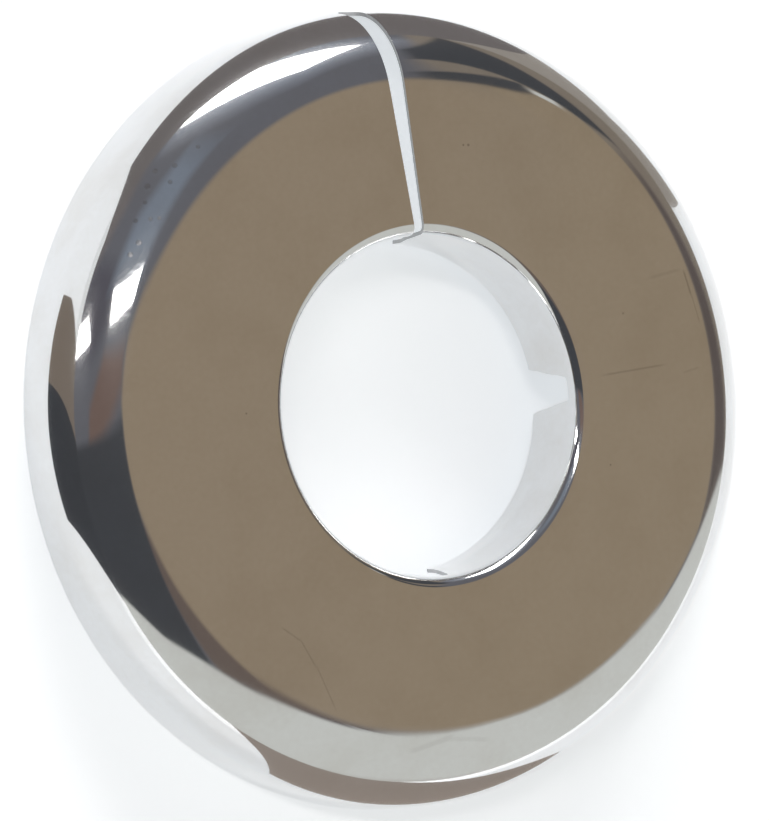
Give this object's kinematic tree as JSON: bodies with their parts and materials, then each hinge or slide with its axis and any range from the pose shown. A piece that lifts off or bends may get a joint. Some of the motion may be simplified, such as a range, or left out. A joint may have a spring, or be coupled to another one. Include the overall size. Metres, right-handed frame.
{
  "type": "pipe rosette",
  "caption": "Split chrome floor plate that snaps round a pipe and covers the hole it passes through: flat face, rounded rim, short tabbed collar.",
  "frame": {"origin": "centre of the back rim, in the plane of the wall or floor that the plate lies against", "axes": "+Z along the pipe, away from the wall and out of the front face; the slit lies along +Y"},
  "size_m": [0.0826, 0.0826, 0.0111],
  "materials": {
    "chrome_sheet": "bright chrome plating on thin pressed sheet, polished on the front, lightly scratched and pitted, duller behind"
  },
  "bodies": {
    "root": {"rosette": "chrome_sheet"}
  },
  "joints": []
}
